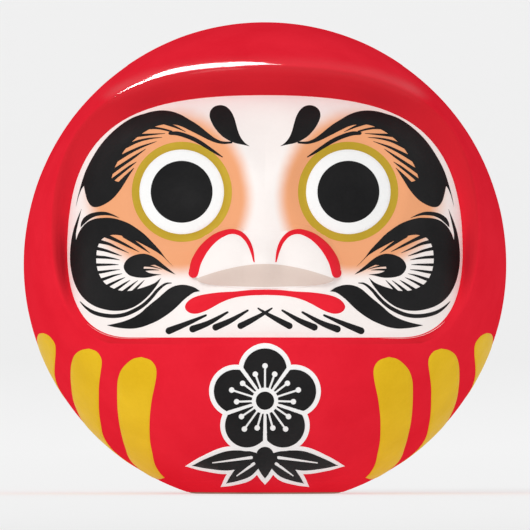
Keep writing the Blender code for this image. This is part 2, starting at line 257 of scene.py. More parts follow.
def on_front(depth_of):
    """A function from (x, z, lift) to points on the front surface of that depth."""
    def place(x, z, lift):
        x, z = np.asarray(x, float), np.asarray(z, float)
        step = 0.05
        rim = BALL_R - 2 * step
        r = np.maximum(np.hypot(x, z), 1e-6)
        ix, iz = x * np.minimum(1.0, rim / r), z * np.minimum(1.0, rim / r)
        slope_x = (depth_of(ix + step, iz) - depth_of(ix - step, iz)) / (2 * step)
        slope_z = (depth_of(ix, iz + step) - depth_of(ix, iz - step)) / (2 * step)
        normals = unit(np.stack([-slope_x, -np.ones_like(x), -slope_z], axis=1))
        points = np.stack([x, -depth_of(x, z), CENTRE_Z + z], axis=1)
        return lifted(points, normals, lift)
    return place


def skin_depth(x, z):
    return front_depth(x, z) + nose_height(x, z)


ON_SKIN = on_front(skin_depth)
ON_FRONT = on_front(front_depth)


def bisected(low, high, too_low, rounds=30):
    """The values between low and high at which too_low stops being true."""
    for _ in range(rounds):
        mid = (low + high) / 2
        below = too_low(mid)
        low, high = np.where(below, mid, low), np.where(below, high, mid)
    return (low + high) / 2


def flank_point(longitude, z):
    """The body's surface at a longitude, in radians from the front, and a height z."""
    side, ahead = np.abs(np.sin(longitude)), np.cos(longitude)
    span = bisected(
        np.zeros_like(z), np.full_like(z, BALL_R),
        lambda r: r * ahead <= raw_depth(np.minimum(r * side, BALL_R), z),
    )
    back = np.sqrt(np.clip(BALL_R ** 2 - z ** 2, 0.0, None))
    span = np.where(ahead > 1e-3, np.minimum(span, back * 1.02), back)
    return np.stack([span * np.sin(longitude), -span * ahead, CENTRE_Z + z], axis=1)


FLANK_SCALE = 1.1        # millimetres that one degree of longitude counts for in an outline


def on_flank(u, z, lift):
    """Points on the body from outline coordinates: u is FLANK_SCALE times the longitude in degrees."""
    longitude = np.radians(np.asarray(u, float) / FLANK_SCALE)
    z = np.asarray(z, float)
    step = 0.004
    points = flank_point(longitude, z)
    along = flank_point(longitude + step, z) - flank_point(longitude - step, z)
    up = flank_point(longitude, z + 0.2) - flank_point(longitude, z - 0.2)
    return lifted(points, unit(np.cross(along, up)), lift)


# ---- outlines

def spline(points, spacing=0.45):
    """A smooth curve through the points, with its own points about spacing apart."""
    p = np.array(points, float)
    if len(p) == 2:
        p = np.array([p[0], p.mean(axis=0), p[1]])
    ends = np.vstack([2 * p[0] - p[1], p, 2 * p[-1] - p[-2]])
    out = []
    for a, b, c, d in zip(ends, ends[1:], ends[2:], ends[3:]):
        length = np.linalg.norm(c - b)
        t = np.linspace(0.0, 1.0, max(2, int(math.ceil(length / spacing))), endpoint=False)[:, None]
        lead = (c - a) * min(1.0, length / max(np.linalg.norm(c - a) / 2, 1e-9)) / 2
        trail = (d - b) * min(1.0, length / max(np.linalg.norm(d - b) / 2, 1e-9)) / 2
        out.append(
            (2 * t ** 3 - 3 * t ** 2 + 1) * b + (t ** 3 - 2 * t ** 2 + t) * lead
            + (-2 * t ** 3 + 3 * t ** 2) * c + (t ** 3 - t ** 2) * trail
        )
    return np.vstack(out + [p[-1:]])


def outline(*runs, spacing=0.45):
    """A closed outline of smooth runs that meet at corners; each run ends where the next starts."""
    closed = zip(runs, runs[1:] + runs[:1])
    return np.vstack([spline([*run, after[0]], spacing)[:-1] for run, after in closed])


def brush(points, widths, spacing=0.45):
    """The outline of a brush stroke along a smooth line, with a width at each point and round ends."""
    marks = np.column_stack([np.array(points, float), np.array(widths, float)])
    line = spline(marks, spacing)
    path, half = line[:, :2], line[:, 2] / 2
    ahead = unit(np.gradient(path, axis=0))
    left = np.column_stack([-ahead[:, 1], ahead[:, 0]])

    def cap(centre, radius, start):
        count = max(3, int(math.pi * radius / spacing))
        turn = start - np.linspace(0.0, math.pi, count + 1)[1:-1]
        return centre + radius * np.column_stack([np.cos(turn), np.sin(turn)])

    start_turn = math.atan2(*(-left[0])[::-1])
    end_turn = math.atan2(*left[-1][::-1])
    return np.vstack([
        path + left * half[:, None],
        cap(path[-1], half[-1], end_turn),
        (path - left * half[:, None])[::-1],
        cap(path[0], half[0], start_turn),
    ])


def circle(x, z, radius, spacing=0.45):
    count = max(12, int(2 * math.pi * radius / spacing))
    turn = np.linspace(0.0, 2 * math.pi, count, endpoint=False)
    return np.column_stack([x + radius * np.cos(turn), z + radius * np.sin(turn)])


def mirrored(loops):
    """The same outlines on the other side."""
    return [loop[::-1] * np.array([-1.0, 1.0]) for loop in loops]


def inside(points, loop):
    """Which points lie inside a closed loop."""
    hit = np.zeros(len(points), bool)
    a, b = loop, np.roll(loop, -1, axis=0)
    for (ax, az), (bx, bz) in zip(a, b):
        if az == bz:
            continue
        crosses = (az > points[:, 1]) != (bz > points[:, 1])
        hit ^= crosses & (points[:, 0] < ax + (points[:, 1] - az) * (bx - ax) / (bz - az))
    return hit


def nearest(points, others):
    """Distance from each point to the nearest of the others."""
    out = np.empty(len(points))
    for start in range(0, len(points), 2000):
        block = points[start:start + 2000]
        gap = ((block[:, None, :] - others[None]) ** 2).sum(axis=2)
        out[start:start + 2000] = np.sqrt(gap.min(axis=1))
    return out


def fill(adds, cuts, spacing, inset):
    """Points and triangles over the union of outlines less the cuts."""
    loops = list(adds) + list(cuts)
    edge = np.vstack(loops)

    def within(points):
        keep = np.zeros(len(points), bool)
        for loop in adds:
            keep |= inside(points, loop)
        for loop in cuts:
            keep &= ~inside(points, loop)
        return keep

    rim = []
    for loop in loops:
        run = unit(np.roll(loop, -1, axis=0) - np.roll(loop, 1, axis=0))
        side = np.column_stack([-run[:, 1], run[:, 0]]) * inset
        rim += [loop + side, loop - side]
    rim = np.vstack(rim)
    rim = rim[within(rim)]
    rim = rim[nearest(rim, edge) > inset * 0.9]
    low, high = edge.min(axis=0), edge.max(axis=0)
    grid = []
    for k, z in enumerate(np.arange(low[1], high[1], spacing * 0.87)):
        row = np.arange(low[0] + (k % 2) * spacing / 2, high[0], spacing)
        grid.append(np.column_stack([row, np.full(len(row), z)]))
    grid = np.vstack(grid)
    grid = grid[within(grid)]
    if len(grid):
        grid = grid[nearest(grid, edge) > inset + spacing * 0.45]
    verts = [Vector(p) for p in np.vstack([edge, rim, grid])]
    edges, start = [], 0
    for loop in loops:
        count = len(loop)
        edges += [(start + k, start + (k + 1) % count) for k in range(count)]
        start += count
    made = delaunay_2d_cdt(verts, edges, [], 0, 1e-5)
    points = np.array([tuple(v) for v in made[0]])
    tris = np.array([f for f in made[2] if len(f) == 3])
    tris = tris[within(points[tris].mean(axis=1))]
    used = np.unique(tris)
    renumber = np.full(len(points), -1)
    renumber[used] = np.arange(len(used))
    points, tris = points[used], renumber[tris]
    a, b, c = (points[tris[:, k]] for k in range(3))
    turn = (b - a)[:, 0] * (c - a)[:, 1] - (b - a)[:, 1] * (c - a)[:, 0]
    tris[turn < 0] = tris[turn < 0][:, ::-1]
    return points, tris


def border(tris):
    """Directed border edges of a triangulation."""
    sides = np.vstack([tris[:, [0, 1]], tris[:, [1, 2]], tris[:, [2, 0]]])
    known = {(int(a), int(b)) for a, b in sides}
    return [(a, b) for a, b in known if (b, a) not in known]


# ---- pieces

def raw_mesh(name, points, faces):
    """A mesh from millimetre points."""
    mesh = bpy.data.meshes.new(name)
    mesh.from_pydata((np.asarray(points) * MM).tolist(), [], faces)
    return mesh


def link_object(name, data):
    made = bpy.data.objects.new(name, data)
    bpy.context.scene.collection.objects.link(made)
    return made


def new_piece(name, points, faces, material, stands_for=()):
    """A mesh object from millimetre points that rides on the doll's one body."""
    mesh = raw_mesh(name, points, faces)
    mesh.validate()
    mesh.shade_smooth()
    mesh.set_sharp_from_angle(angle=SHARP_ANGLE)
    mesh.materials.append(material)
    piece = link_object(name, mesh)
    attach(piece, BODY)
    if stands_for:
        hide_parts(*stands_for)
    return piece


def paint(name, adds, material, slot, cuts=(), place=ON_SKIN, lift=PAINT_T, spacing=1.1, inset=0.16):
    """A coat of paint: a closed slab that follows the surface, with a softly rounded edge."""
    flat, tris = fill(adds, cuts, spacing, inset)
    rim = border(tris)
    count = len(flat)
    on_rim = np.zeros(count, bool)
    on_rim[[a for a, _ in rim]] = True
    top = place(flat[:, 0], flat[:, 1], np.where(on_rim, lift * 0.4, lift))
    under = place(flat[:, 0], flat[:, 1], -PAINT_SINK)
    faces = tris.tolist() + (tris[:, ::-1] + count).tolist()
    faces += [(b, a, a + count, b + count) for a, b in rim]
    return new_piece(name, np.vstack([top, under]), faces, material)


def both_sides(name, adds, material, slot, **options):
    paint(name + "_right", adds, material, slot, **options)
    if "cuts" in options:
        options["cuts"] = mirrored(options["cuts"])
    paint(name + "_left", mirrored(adds), material, slot, **options)


def ring_faces(rings):
    """Quads between neighbouring rings of equal length, with fans to single points."""
    faces, start = [], 0
    for ring, following in zip(rings, rings[1:]):
        after = start + len(ring)
        count = max(len(ring), len(following))
        for k in range(count):
            n = (k + 1) % count
            if len(ring) == 1:
                faces.append((start, after + n, after + k))
            elif len(following) == 1:
                faces.append((start + k, start + n, after))
            else:
                faces.append((start + k, start + n, after + n, after + k))
        start = after
    return faces


def lofted(name, rings, material, stands_for=()):
    """A closed piece from rings of points; the first and last may be single points or equal rings."""
    points = np.vstack(rings)
    faces = ring_faces(rings)
    if len(rings[0]) > 1 and np.allclose(rings[0], rings[-1]):
        last = len(points) - len(rings[-1])
        faces = [tuple(v - last if v >= last else v for v in f) for f in faces]
        points = points[:last]
    return new_piece(name, points, faces, material, stands_for)


# ---- materials

def new_material(name):
    """A material with its node tree and its shader."""
    material = bpy.data.materials.new(name)
    material.use_nodes = True
    tree = material.node_tree
    return material, tree, tree.nodes["Principled BSDF"]


def feed(tree, node, inputs):
    """Fill a node's inputs: a socket is linked, a colour or value is stored."""
    for key, value in inputs.items():
        socket = node.inputs[key]
        if isinstance(value, bpy.types.NodeSocket):
            tree.links.new(value, socket)
        else:
            socket.default_value = (*value, 1.0) if socket.type == 'RGBA' else value


def add_node(tree, kind, output, inputs, **settings):
    """A new node's output."""
    node = tree.nodes.new(kind)
    for key, value in settings.items():
        setattr(node, key, value)
    feed(tree, node, inputs)
    return node.outputs[output]


def object_place(tree):
    return add_node(tree, "ShaderNodeTexCoord", "Object", {})


def noise(tree, vector, scale, detail=4.0, rough=0.55):
    inputs = {"Vector": vector, "Scale": scale, "Detail": detail, "Roughness": rough}
    return add_node(tree, "ShaderNodeTexNoise", "Fac", inputs)


def ranged(tree, value, low, high, from_low=0.3, from_high=0.7, **settings):
    inputs = {"Value": value, "From Min": from_low, "From Max": from_high, "To Min": low, "To Max": high}
    return add_node(tree, "ShaderNodeMapRange", "Result", inputs, **settings)


def mixed(tree, factor, first, second):
    inputs = {"Factor": factor, "A": first, "B": second}
    return add_node(tree, "ShaderNodeMix", "Result", inputs, data_type='RGBA')


def calc(tree, operation, *values):
    return add_node(tree, "ShaderNodeMath", "Value", dict(enumerate(values)), operation=operation)


def overpaint(tree, shader, factor, colour):
    """Lay a colour over the shader's own by a factor."""
    base = shader.inputs["Base Color"]
    tree.links.new(mixed(tree, factor, base.links[0].from_socket, colour), base)


def paint_material(name, dark, light, rough, grain=0.35, gloss=0.08, metallic=0.0, streaks=0.0):
    """Paint on paper: uneven colour, uneven sheen, a paper grain and optional brush streaks."""
    material, tree, shader = new_material(name)
    where = object_place(tree)
    cloud = noise(tree, where, 45.0, 5.0)
    speck = noise(tree, where, 900.0, 3.0, 0.7)
    patch = calc(tree, 'ADD', cloud, calc(tree, 'MULTIPLY', speck, 0.25))
    tone = ranged(tree, patch, 0.0, 1.0, 0.42, 0.83)
    sheen = ranged(tree, noise(tree, where, 160.0), rough - 0.06, rough + 0.06)
    fibre = noise(tree, where, 420.0, 6.0, 0.6)
    lump = noise(tree, where, 110.0, 2.0)
    height = calc(tree, 'ADD', calc(tree, 'MULTIPLY', lump, 1.6), fibre)
    if streaks:
        inputs = {"Vector": where, "Scale": (0.12, 0.12, 1.0)}
        stretched = add_node(tree, "ShaderNodeMapping", "Vector", inputs)
        streak = noise(tree, stretched, 1500.0, 3.0)
        height = calc(tree, 'ADD', height, calc(tree, 'MULTIPLY', streak, streaks))
    inputs = {"Strength": grain, "Distance": 0.00025, "Height": height}
    feed(tree, shader, {
        "Base Color": mixed(tree, tone, dark, light),
        "Roughness": sheen,
        "Metallic": metallic,
        "Specular IOR Level": gloss,
        "Normal": add_node(tree, "ShaderNodeBump", "Normal", inputs),
    })
    return material, tree, shader


WHITE_LOW = (0.945, 0.875, 0.845)
WHITE_HIGH = (0.985, 0.925, 0.895)
PEACH = (0.885, 0.390, 0.190)
# painted shade: the darker red laid on the hood's recess round the face
PAINTED_SHADE_RED = (0.64, 0.018, 0.029)
CREST_COAT = 0.45


def blush_material(name):
    """The face: off-white paint with a soft peach shade round each eye."""
    material, tree, shader = paint_material(name, WHITE_LOW, WHITE_HIGH, 0.55, grain=0.3)
    where = object_place(tree)
    apart = tree.nodes.new("ShaderNodeSeparateXYZ")
    feed(tree, apart, {"Vector": where})

    def axis_share(value, centre, low_half, high_half):
        """How far a coordinate is from the shade's middle, squared, 1 at its edge on either side."""
        off = calc(tree, 'SUBTRACT', value, centre * MM)
        up = calc(tree, 'DIVIDE', calc(tree, 'MAXIMUM', off, 0.0), high_half * MM)
        down = calc(tree, 'DIVIDE', calc(tree, 'MINIMUM', off, 0.0), -low_half * MM)
        return calc(tree, 'POWER', calc(tree, 'ADD', up, down), 2.0)

    u = axis_share(calc(tree, 'ABSOLUTE', apart.outputs["X"]), 29.0, 23.7, 29.0)
    v = axis_share(apart.outputs["Z"], CENTRE_Z + 22.0, 24.4, 28.0)
    far = calc(tree, 'SQRT', calc(tree, 'ADD', u, v))
    drift = calc(tree, 'SUBTRACT', noise(tree, where, 90.0, 3.0), 0.5)
    far = calc(tree, 'ADD', far, calc(tree, 'MULTIPLY', drift, 0.06))
    shade = ranged(tree, far, 1.0, 0.0, 0.88, 1.12, interpolation_type='SMOOTHSTEP')
    overpaint(tree, shader, shade, PEACH)
    return material


def red_material(name):
    """Red lacquer with painted shade: a darker red in the hood's recess, where the mesh's attribute for it
    is set, and glossier where its polish is.
    """
    material, tree, shader = paint_material(
        name, (0.775, 0.0145, 0.031), (0.845, 0.0215, 0.041), 0.42, grain=0.25, gloss=0.0,
    )
    recess_shade, polish = (
        add_node(tree, "ShaderNodeAttribute", "Fac", {}, attribute_name=attribute)
        for attribute in ("recess_shade", "polish")
    )
    # painted shade: the recess goes a darker red
    overpaint(tree, shader, recess_shade, PAINTED_SHADE_RED)
    coat = ranged(tree, polish, 0.0, CREST_COAT, 0.0, 1.0)
    feed(tree, shader, {"Coat Weight": coat, "Coat Roughness": 0.10})
    return material


RED = red_material("red_lacquer")
FACE = blush_material("face_paint")
NOSE, NOSE_SHADOW_BEIGE, BLACK, RED_LINE, GOLD, RING_GOLD, WHITE, CLAY = (
    paint_material(name, dark, light, rough, **options)[0]
    for name, dark, light, rough, options in (
        ("nose_paint", WHITE_LOW, WHITE_HIGH, 0.55, {"grain": 0.3}),
        # painted shadow: the beige laid under the nose
        ("nose_shadow_paint", (0.74, 0.60, 0.53), (0.78, 0.65, 0.58), 0.6, {}),
        ("black_ink", (0.009, 0.009, 0.0095), (0.017, 0.0165, 0.017), 0.5, {"streaks": 0.5}),
        ("red_paint", (0.78, 0.010, 0.024), (0.86, 0.018, 0.036), 0.5, {}),
        ("gold_paint", (0.76, 0.47, 0.013), (0.86, 0.555, 0.023), 0.42, {"gloss": 0.02}),
        ("ring_gold", (0.50, 0.33, 0.026), (0.57, 0.385, 0.036), 0.45, {"metallic": 0.08}),
        ("white_paint", (0.93, 0.93, 0.92), (0.98, 0.98, 0.975), 0.5, {}),
        ("bare_clay", (0.30, 0.19, 0.125), (0.43, 0.29, 0.20), 0.85, {"grain": 0.8}),
    )
)


# ---- shells

SIDES = 540
BODY_RINGS = 110
TURN = np.linspace(0.0, 2 * math.pi, SIDES, endpoint=False)
SIN, COS = np.sin(TURN), np.cos(TURN)
EDGE = reach(FACE_TABLE, SIN, COS)
CREST = reach(CREST_TABLE, SIN, COS)
RIM_DEPTH = face_dome(EDGE * SIN, EDGE * COS)


def front_ring(radii, lift=0.0):
    return ON_FRONT(radii * SIN, radii * COS, lift)


def plain_ring(radii, y):
    """A ring round the Y axis."""
    radii = np.broadcast_to(radii, SIDES)
    return np.stack([radii * SIN, np.broadcast_to(y, SIDES), CENTRE_Z + radii * COS], axis=1)


def ball_radius(low, wanted, rounds=30):
    """Distance from the Y axis, at every angle of TURN, where the ball is as deep as wanted."""
    return bisected(low, np.full(SIDES, BALL_R), lambda r: ball_depth(r * SIN, r * COS) > wanted(r), rounds)


def turned_rings(profile):
    """Rings about Z from (radius, z) points; z counts from the foot."""
    return [
        np.stack([r * SIN, r * COS, np.full(SIDES, z)], axis=1) if r else np.array([[0.0, 0.0, z]])
        for r, z in profile
    ]


def under_ball(r, radius=BALL_R):
    """A profile point on the underside of a ball."""
    return (float(r), CENTRE_Z - math.sqrt(radius ** 2 - r ** 2))


def under_arc(first, last, radius, steps):
    return [under_ball(r, radius) for r in np.linspace(first, last, steps)]


def cut_base(piece):
    """Cut the round opening for the clay weight, and the step that the paper ring lies in."""
    step_out, below, above = BASE_STRIP_OUT + GAP / 2, -9.0, 12.0
    profile = [(0.0, below), (step_out, below)] + under_arc(step_out, OPENING_R, STEP_R, 6)
    profile += [(OPENING_R, above), (0.0, above)]
    rings = turned_rings(profile[::-1])
    cutter = link_object("opening", raw_mesh("opening", np.vstack(rings), ring_faces(rings)))
    cut = piece.modifiers.new("opening", 'BOOLEAN')
    cut.operation, cut.solver, cut.object = 'DIFFERENCE', 'MANIFOLD', cutter
    evaluated = piece.evaluated_get(bpy.context.evaluated_depsgraph_get())
    whole, piece.data = piece.data, bpy.data.meshes.new_from_object(evaluated)
    piece.modifiers.remove(cut)
    piece.data.set_sharp_from_angle(angle=SHARP_ANGLE)
    for mesh in (cutter.data, whole):
        bpy.data.meshes.remove(mesh)


def make_face():
    """The face skin, from its middle to just under the red edge, with a plain back."""
    t = np.linspace(0.0, 1.0, 90)
    shares = np.sin(t * math.pi / 2) * 0.55 + t * 0.45
    rings = [ON_FRONT([0.0], [0.0], 0.0)]
    rings += [front_ring(EDGE * share) for share in shares[1:]]
    rings.append(plain_ring(EDGE + 0.4, 0.05 - RIM_DEPTH))
    for share in (1.0, 0.8, 0.55, 0.3):
        r = EDGE * share
        rings.append(plain_ring(r, WALL - face_dome(r * SIN, r * COS)))
    rings.append(np.array([[0.0, WALL - float(face_dome(0.0, 0.0)), CENTRE_Z]]))
    return lofted("face_skin", rings, FACE)


def mark_lacquer(piece):
    """Say in attributes how much painted shade, a darker red, each point takes in the hood's recess, and
    how polished it is.
    """
    spots = np.empty(len(piece.data.vertices) * 3)
    piece.data.vertices.foreach_get("co", spots)
    x, y, z = (spots.reshape(-1, 3) / MM - CENTRE).T
    edge, crest = reach(FACE_TABLE, x, z), reach(CREST_TABLE, x, z)
    turn = np.degrees(np.arctan2(np.abs(x), z))
    past = np.hypot(x, z) - crest
    share = np.clip(1.0 + past / np.maximum(crest - edge, 0.1), 0.0, 1.0)
    # painted shade: darker red from the face's edge up to the crest, full at the top, weaker near the face
    # on the sides
    recess_shade = (1.0 - smooth(-0.7, 0.3, past)) * smooth(2.2, 5.0, crest - edge)
    recess_shade *= 1.0 - 0.7 * smooth(50.0, 75.0, turn) * (1.0 - share)
    polish = np.exp(-((past - 0.3) / 1.9) ** 2) * (1.0 - smooth(38.0, 46.0, turn)) * (y < 0.0)
    for name, values in (("recess_shade", recess_shade), ("polish", polish)):
        piece.data.attributes.new(name, 'FLOAT', 'POINT').data.foreach_set("value", values)


def make_red_front():
    """The red front: a lip of paint on the face's edge, the hood's inner slope, crest and belly."""
    first = front_ring(EDGE - 0.30, -0.06)
    rings = [first, front_ring(EDGE - 0.26, 0.08), front_ring(EDGE - 0.12, LIP)]
    rings += [front_ring(EDGE + 0.05 + (CREST - EDGE) * share, LIP) for share in np.linspace(0.0, 1.0, 22)]
    limb = ball_radius(np.zeros(SIDES), lambda r: SEAM_HALF, rounds=40)
    start = np.arctan2(ball_depth(CREST * SIN, CREST * COS), CREST)
    stop = np.arctan2(SEAM_HALF, limb)
    for share in np.arange(1, BODY_RINGS + 1) / BODY_RINGS:
        climb = np.tan(start + (stop - start) * share)
        radii = np.maximum(ball_radius(CREST * 0.9, lambda r: r * climb), CREST + 0.05)
        rings.append(front_ring(radii, LIP * (1.0 - share)))
    rings += [plain_ring(limb - PAPER_T - GAP, -SEAM_HALF), plain_ring(STEP_R, -GAP / 2)]
    rings.append(plain_ring(INNER_R, -GAP / 2))
    for slope in (0.25, 0.5, 0.75):
        r = INNER_R * math.cos(slope)
        keep = r > CREST - 1.0
        depth = np.where(keep, ball_depth(r * SIN, r * COS, INNER_R), RIM_DEPTH - WALL)
        rings.append(plain_ring(np.where(keep, r, CREST - 1.0), -depth))
    rings += [plain_ring(EDGE + 0.3, WALL * 0.9 - RIM_DEPTH), first]
    piece = lofted("red_front", rings, RED, ["front_shell"])
    cut_base(piece)
    mark_lacquer(piece)
    return piece


def make_red_back():
    """The plain round back, closed on the inside by a smaller ball."""
    pole, edge = math.pi / 2, math.asin(SEAM_HALF / BALL_R)
    rings = [lifted(np.array([[0.0, BALL_R, CENTRE_Z]]), np.array([[0.0, 1.0, 0.0]]), 0.0)]
    for k in range(1, BODY_RINGS + 1):
        slope = pole + (edge - pole) * k / BODY_RINGS
        ring = plain_ring(BALL_R * math.cos(slope), BALL_R * math.sin(slope))
        rings.append(lifted(ring, unit(ring - CENTRE), 0.0))
    rings.append(plain_ring(BALL_R * math.cos(edge) - PAPER_T - GAP, SEAM_HALF))
    rings += [plain_ring(STEP_R, GAP / 2), plain_ring(INNER_R, GAP / 2)]
    for slope in pole * np.arange(1, 8) / 8:
        rings.append(plain_ring(INNER_R * math.cos(slope), INNER_R * math.sin(slope)))
    rings.append(np.array([[0.0, INNER_R, CENTRE_Z]]))
    piece = lofted("red_back", rings, RED, ["back_shell"])
    piece.data.flip_normals()
    cut_base(piece)


def make_seam_strip(name, node_name, first, last, proud=0.10):
    """A pasted paper strip over the joint of the shells: a hair proud, its edges closed by the paint."""
    marks = np.radians(np.linspace(first, last, int((last - first) / 0.7)))
    across = np.array([-1.0, -0.985, -0.95, -0.6, -0.2, 0.2, 0.6, 0.95, 0.985, 1.0]) * (STRIP_HALF + LAP)
    crown = proud * np.array([-1.0, 0.4, 1.0, 1.0, 1.0, 1.0, 1.0, 1.0, 0.4, -1.0])
    ends = np.clip(np.minimum(marks - marks[0], marks[-1] - marks) / math.radians(0.5), 0.0, 1.0)
    sections = []
    for angle, end in zip(marks, ends):
        sin_a, cos_a = math.sin(angle), math.cos(angle)
        power = 2.0 + FULLNESS * float(smooth(-50.0, 10.0, BALL_R * cos_a))
        bend = np.where(across < 0, power, 2.0)
        r = BALL_R * np.sqrt(1.0 - (np.abs(across) / BALL_R) ** bend)
        outer = np.stack([r * sin_a, across, CENTRE_Z + r * cos_a], axis=1)
        normals = unit(outer - CENTRE)
        outer = lifted(outer, normals, np.minimum(crown, proud * (2.0 * end - 1.0)))
        sections.append(np.vstack([outer, (outer - normals * PAPER_T)[::-1]]))
    size = len(sections[0])
    points = np.vstack(sections)
    faces = [f[::-1] for f in ring_faces(sections)]
    faces += [tuple(range(size)), tuple(range(len(points) - 1, len(points) - size - 1, -1))]
    new_piece(name, points, faces, RED, [node_name])


def make_foot():
    """The clay weight, with a trowelled underside, and the paper ring round it."""
    ledge, plug, corner = BASE_STRIP_IN - GAP, OPENING_R - GAP, 3.0
    foot_r = math.sqrt(BALL_R ** 2 - CENTRE_Z ** 2)
    profile = [(0.0, 0.35), (4.0, 0.32), (9.0, 0.18), (15.0, 0.06), (19.0, 0.0), (foot_r - 0.8, 0.0)]
    profile += [(foot_r, 0.1)] + under_arc(foot_r + 0.3, ledge, BALL_R, 3)
    profile += under_arc(ledge, plug, STEP_R, 4)
    for turn in np.radians(np.arange(0.0, 91.0, 15.0)):
        profile.append((plug - corner * (1 - math.cos(turn)), WEIGHT_H - corner * (1 - math.sin(turn))))
    profile += [(plug * 0.5, WEIGHT_H + 1.0), (0.0, WEIGHT_H + 1.6)]
    lofted("clay_foot", turned_rings(profile[::-1]), CLAY, ["clay_weight"])
    lapped = BASE_STRIP_OUT + LAP
    loop = [under_ball(BASE_STRIP_IN, BALL_R - 0.1)]
    loop += under_arc(BASE_STRIP_IN + 0.3, lapped - 0.3, BALL_R + 0.10, 9)
    loop += [under_ball(lapped, BALL_R - 0.25)]
    loop += under_arc(BASE_STRIP_OUT, BASE_STRIP_IN, BALL_R - PAPER_T, 5)
    lofted("base_ring", turned_rings((loop + loop[:1])[::-1]), RED, ["base_strip"])


def make_nose():
    """The nose: the CAD's outline, sunk a little where it does not rise above the face."""
    power, back = 2.5, -1.2
    half_h = np.where(COS > 0, NOSE_TOP, -NOSE_BOTTOM)
    span = ((np.abs(SIN) / NOSE_HALF_W) ** power + (np.abs(COS) / half_h) ** power) ** (-1.0 / power)
    x, z = span * SIN, span * COS
    rings = [ON_SKIN([0.0], [0.0], 0.0)]
    for share in np.arange(1, 61) / 60:
        sink = -0.35 * np.exp(-nose_height(x * share, z * share) / 0.25)
        rings.append(ON_SKIN(x * share, z * share, sink))
    rings += [ON_FRONT(x * share, z * share, back) for share in (1.0, 0.6, 0.3)]
    rings.append(ON_FRONT([0.0], [0.0], back))
    lofted("nose_pulp", rings, NOSE, ["nose"])


# ---- paint on the face

BROW = [
    # upper edge, from the inner tip to the tail's tip
    [(11.0, 40.9), (14, 40.95), (16, 41.7), (18, 43.0), (22, 46.2), (25, 48.1), (28, 49.8), (31, 50.8),
     (34, 51.1), (37, 50.8), (40, 50.0), (44, 48.6), (48, 46.1), (52, 42.6), (55, 39.0), (58, 34.1),
     (59.8, 30.2), (61.4, 25.0), (62.2, 21.9)],
    # tail's inner side, up to the notch
    [(62.7, 19.2), (61.8, 22.6), (60.9, 24.9)],
    # round lobe, up to the last tooth
    [(60.1, 26.1), (59.6, 23.6), (58.9, 21.2), (57.6, 19.4), (55.8, 19.1), (53.5, 19.9), (51, 21.5),
     (49, 23.6), (47.4, 25.8)],
    # inner edge behind the teeth
    [(46.3, 27.7), (48.7, 27.5)],
    [(51.0, 28.4), (50.0, 31.9), (48.2, 35.4), (46.3, 38.4), (44.2, 40.7), (41.5, 43.0), (39, 44.6),
     (36.2, 45.9), (33, 46.6), (29.6, 46.4), (27.5, 45.8), (25, 44.6), (22, 43.1), (19, 41.6),
     (16.5, 40.6), (14, 40.1)],
    [(11.0, 40.3), (10.8, 40.6)],
]
BROW_TEETH = [
    ([(33.5, 47.1), (29.8, 45.75), (26.3, 44.1)], [1.1, 0.7, 0.12]),
    ([(41.0, 45.3), (36.5, 45.35), (33.5, 44.9), (31.0, 44.2)], [1.2, 0.75, 0.6, 0.6]),
    ([(43.0, 42.8), (38.0, 43.2), (33.2, 43.55)], [1.1, 0.6, 0.12]),
    ([(46.5, 39.1), (42.0, 41.0), (38.0, 41.9), (34.2, 42.25)], [1.3, 0.8, 0.5, 0.12]),
    ([(49.5, 34.7), (45.0, 37.2), (41.0, 39.1), (36.0, 40.9)], [1.5, 1.0, 0.7, 0.12]),
    ([(52.5, 29.6), (47.5, 33.0), (43.5, 35.7), (39.6, 38.4)], [1.5, 1.05, 0.8, 0.12]),
    ([(52.5, 26.6), (48.0, 30.2), (45.0, 32.5), (42.7, 34.1)], [1.3, 0.9, 0.7, 0.12]),
    ([(48.7, 25.8), (46.0, 29.2), (43.5, 32.1)], [2.2, 1.2, 0.12]),
]
DROP = [
    [(5.2, 39.4), (6.8, 40.6), (8.1, 42.3), (9.0, 44.4), (9.6, 46.6), (10.3, 48.9), (11.4, 51.0),
     (12.9, 52.4), (14.7, 52.9), (16.6, 52.5), (18.0, 51.2), (18.4, 49.5), (18.0, 47.9), (17.1, 46.1),
     (15.8, 44.3), (14.2, 42.7), (12.4, 41.5), (11.2, 40.9), (9.5, 40.3), (7.5, 39.9)],
]
LASH = ([(31.6, 43.6), (29, 43.55), (25.5, 42.5), (22, 40.85), (19, 38.95), (16.5, 37.3), (14.1, 35.8)],
        [1.0, 1.35, 1.4, 1.35, 1.15, 0.85, 0.3])

CHEEK_SWIRL = [
    # top arm's upper edge from its tip, round the outside, to the thin tail's tip
    [(30.4, -0.6), (33, 2.2), (35, 4.9), (37.5, 7.6), (40, 10.1), (42.5, 12.0), (45, 13.6), (48, 14.8),
     (51, 15.5), (54, 15.5), (56.4, 15.2), (58.6, 14.3), (60.5, 12.6), (61.9, 10.3)],
    [(62.7, 8.0), (62.7, 10.5), (61.9, 14.2)],
    [(60.9, 18.4), (62.1, 15.6), (63.4, 11.9), (64.2, 8.4), (64.6, 5.0), (64.7, 2.0), (64.5, -0.8),
     (64.0, -3.5), (63.2, -6.2), (62.0, -8.7), (60.5, -10.8), (58.5, -12.6), (56, -14.0), (53, -14.9),
     (50, -15.3), (47, -15.1), (44, -14.2), (41.5, -12.7), (39, -10.5), (37, -8.2), (35.5, -6.1)],
    # bottom arm's upper edge and the edge behind the teeth
    [(34.5, -4.3), (36.5, -5.9), (39, -7.0), (41.8, -7.9), (44.5, -8.6), (47.8, -8.6), (50.5, -7.8),
     (53.2, -6.1), (55.1, -3.1), (55.9, 0.0), (56.0, 2.6), (55.5, 6.0), (53.8, 8.7), (50.6, 9.9),
     (47, 9.5)],
    [(43.3, 8.2), (41.5, 7.3), (39, 6.0), (36.5, 4.6), (34, 2.9), (32, 0.9)],
]
